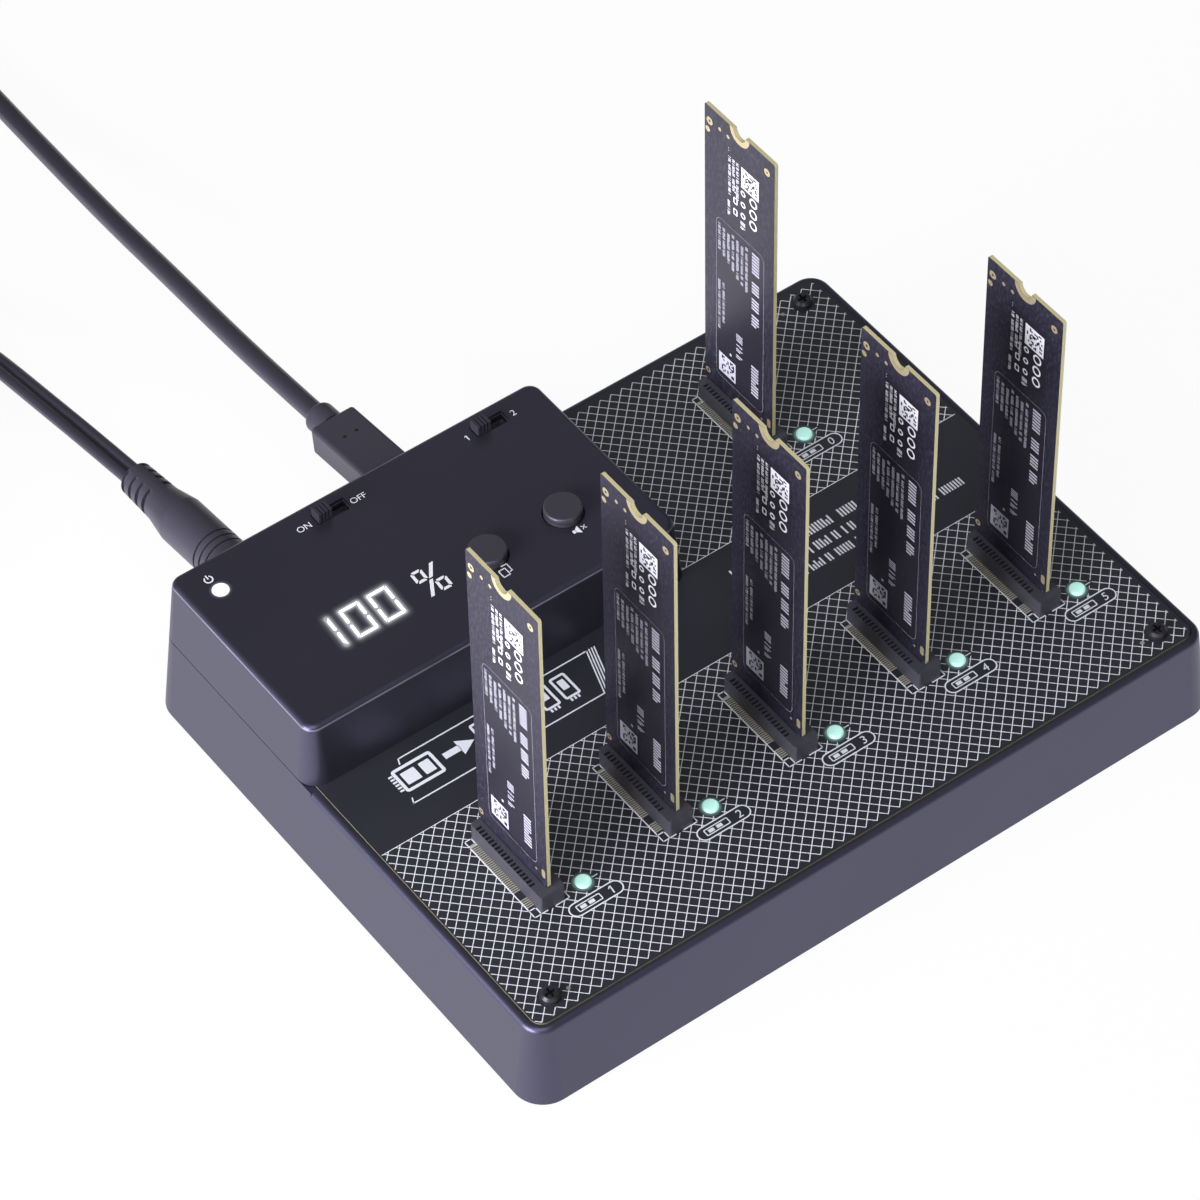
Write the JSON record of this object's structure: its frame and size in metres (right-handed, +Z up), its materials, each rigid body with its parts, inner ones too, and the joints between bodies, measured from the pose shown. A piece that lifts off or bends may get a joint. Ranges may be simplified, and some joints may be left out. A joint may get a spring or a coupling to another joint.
{
  "type": "drive duplicator",
  "caption": "Desktop drive duplicator: black tray with card sockets for one source and several target M.2 cards, a raised control box with switches and buttons, and two leads.",
  "frame": {"origin": "on the table, under the middle of the tray", "axes": "+X to the right along the front edge, +Y to the back where the leads leave, +Z up"},
  "size_m": [0.2239, 0.3607, 0.101],
  "materials": {
    "case_plastic": "fine matt texture",
    "rubber": "matt",
    "board_black": "satin black solder mask",
    "chip_plastic": "matt",
    "socket_plastic": "satin",
    "gold_plate": "polished",
    "screw_steel": "black oxide",
    "brass": "turned",
    "knob_plastic": "satin",
    "button_plastic": "satin",
    "lens_white": "clear diffusing",
    "light_mint": "lit",
    "connector_metal": "nickel plate",
    "moulded_black": "satin moulding",
    "lead_jacket": "satin jacket"
  },
  "bodies": {
    "base": {"base_tray": "case_plastic", "rubber_feet": "rubber", "top_board": "board_black", "top_board_screws": "screw_steel", "main_chips": "chip_plastic", "socket_legs": "gold_plate", "status_lights": "light_mint", "control_box": "case_plastic", "control_box_screws": "screw_steel", "control_board": "board_black", "board_standoffs": "brass", "standoff_screws": "screw_steel", "board_link": "chip_plastic", "power_switch_body": "connector_metal", "mode_switch_body": "connector_metal", "button_switches": "chip_plastic", "buzzer": "chip_plastic", "power_lens": "lens_white", "display_module": "chip_plastic", "dc_jack": "chip_plastic", "usb_port": "connector_metal", "usb_plug": "moulded_black", "dc_plug": "moulded_black", "usb_cable": "lead_jacket", "dc_lead": "lead_jacket", "usb_coil": "lead_jacket", "dc_coil": "lead_jacket", "usb_far_plug": "moulded_black", "power_adapter": "moulded_black", "source_socket": "socket_plastic", "target_1_socket": "socket_plastic", "target_2_socket": "socket_plastic", "target_3_socket": "socket_plastic", "target_4_socket": "socket_plastic", "target_5_socket": "socket_plastic"},
    "power_knob": {"power_switch_knob": "knob_plastic"},
    "mode_knob": {"mode_switch_knob": "knob_plastic"},
    "start_cap": {"start_button": "button_plastic"},
    "buzzer_cap": {"buzzer_button": "button_plastic"},
    "source_drive": {"source_card": "board_black", "source_card_chips": "chip_plastic"},
    "target_1_drive": {"target_1_card": "board_black", "target_1_card_chips": "chip_plastic"},
    "target_2_drive": {"target_2_card": "board_black", "target_2_card_chips": "chip_plastic"},
    "target_3_drive": {"target_3_card": "board_black", "target_3_card_chips": "chip_plastic"},
    "target_4_drive": {"target_4_card": "board_black", "target_4_card_chips": "chip_plastic"},
    "target_5_drive": {"target_5_card": "board_black", "target_5_card_chips": "chip_plastic"}
  },
  "joints": [
    {"name": "start_press", "type": "slide", "parent": "base", "child": "start_cap", "axis": [0, 0, 1], "range_m": [-0.0005, 0], "stiffness_N_per_m": 1500},
    {"name": "buzzer_press", "type": "slide", "parent": "base", "child": "buzzer_cap", "axis": [0, 0, 1], "range_m": [-0.0005, 0], "stiffness_N_per_m": 1500},
    {"name": "power_slide", "type": "slide", "parent": "base", "child": "power_knob", "axis": [1, 0, 0], "range_m": [0, 0.0042]},
    {"name": "mode_slide", "type": "slide", "parent": "base", "child": "mode_knob", "axis": [1, 0, 0], "range_m": [0, 0.0042]},
    {"name": "source_lift", "type": "slide", "parent": "base", "child": "source_drive", "axis": [0, 0, 1], "range_m": [0, 0.012]},
    {"name": "target_1_lift", "type": "slide", "parent": "base", "child": "target_1_drive", "axis": [0, 0, 1], "range_m": [0, 0.012]},
    {"name": "target_2_lift", "type": "slide", "parent": "base", "child": "target_2_drive", "axis": [0, 0, 1], "range_m": [0, 0.012]},
    {"name": "target_3_lift", "type": "slide", "parent": "base", "child": "target_3_drive", "axis": [0, 0, 1], "range_m": [0, 0.012]},
    {"name": "target_4_lift", "type": "slide", "parent": "base", "child": "target_4_drive", "axis": [0, 0, 1], "range_m": [0, 0.012]},
    {"name": "target_5_lift", "type": "slide", "parent": "base", "child": "target_5_drive", "axis": [0, 0, 1], "range_m": [0, 0.012]}
  ]
}
